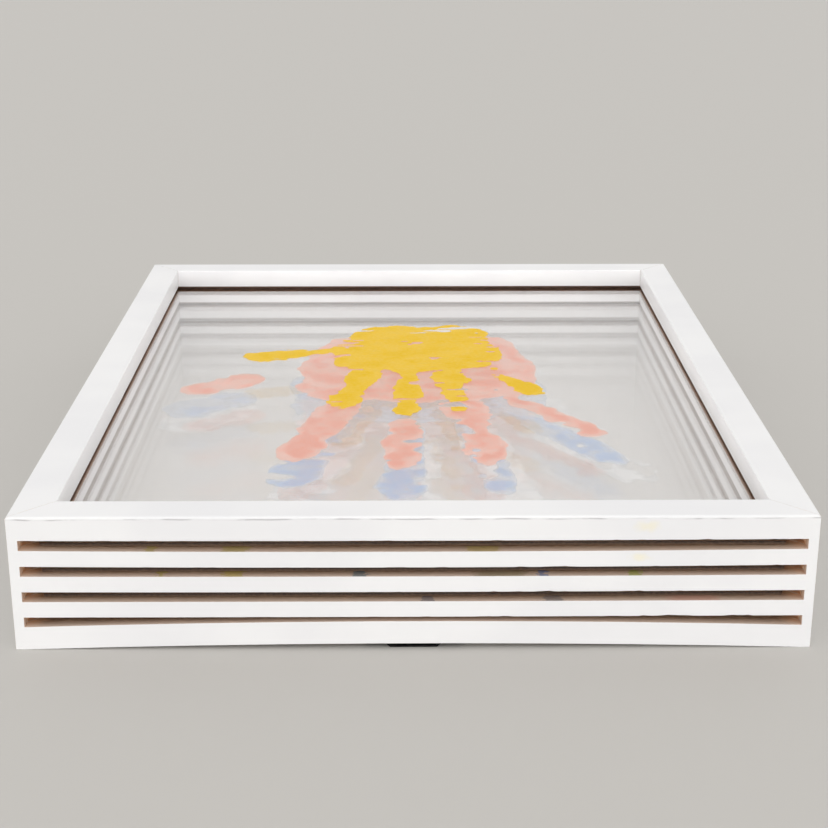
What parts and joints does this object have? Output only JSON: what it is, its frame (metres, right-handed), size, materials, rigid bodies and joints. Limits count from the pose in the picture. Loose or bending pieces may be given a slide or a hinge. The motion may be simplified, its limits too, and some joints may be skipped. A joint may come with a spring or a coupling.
{
  "type": "layered handprint picture frame",
  "caption": "White box picture frame lying on its back, with a slotted top rail through which clear painted sheets slide in behind one another.",
  "frame": {"origin": "on the table under the middle of the frame as it lies on its back", "axes": "+Z out of the face, +Y from the slotted top rail to the bottom rail, +X to the right with the slots towards the viewer"},
  "size_m": [0.24, 0.305, 0.0431],
  "materials": {
    "white_foil": "white foil on fibreboard",
    "fixing_steel": "zinc plated",
    "panel_board": "white faced hardboard",
    "hanger_steel": "black",
    "clear_acrylic": "clear, polished",
    "yellow_paint": "dried finger paint",
    "coral_paint": "dried finger paint",
    "blue_paint": "dried finger paint",
    "white_paint": "dried finger paint"
  },
  "bodies": {
    "frame": {"top_rail": "white_foil", "bottom_rail": "white_foil", "left_stile": "white_foil", "right_stile": "white_foil", "back_panel": "panel_board", "sawtooth_hanger": "hanger_steel", "corner_v_nails": "fixing_steel", "panel_points": "fixing_steel", "hanger_nails": "fixing_steel"},
    "front_sheet": {"front_clear_sheet": "clear_acrylic", "baby_handprint": "yellow_paint"},
    "second_sheet": {"second_clear_sheet": "clear_acrylic", "child_handprint": "coral_paint"},
    "third_sheet": {"third_clear_sheet": "clear_acrylic", "mother_handprint": "blue_paint"},
    "rear_sheet": {"rear_clear_sheet": "clear_acrylic", "father_handprint": "white_paint"}
  },
  "joints": [
    {"name": "front_sheet_slide", "type": "slide", "parent": "frame", "child": "front_sheet", "axis": [0, -1, 0], "range_m": [0, 0.3]},
    {"name": "second_sheet_slide", "type": "slide", "parent": "frame", "child": "second_sheet", "axis": [0, -1, 0], "range_m": [0, 0.3]},
    {"name": "third_sheet_slide", "type": "slide", "parent": "frame", "child": "third_sheet", "axis": [0, -1, 0], "range_m": [0, 0.3]},
    {"name": "rear_sheet_slide", "type": "slide", "parent": "frame", "child": "rear_sheet", "axis": [0, -1, 0], "range_m": [0, 0.3]}
  ]
}
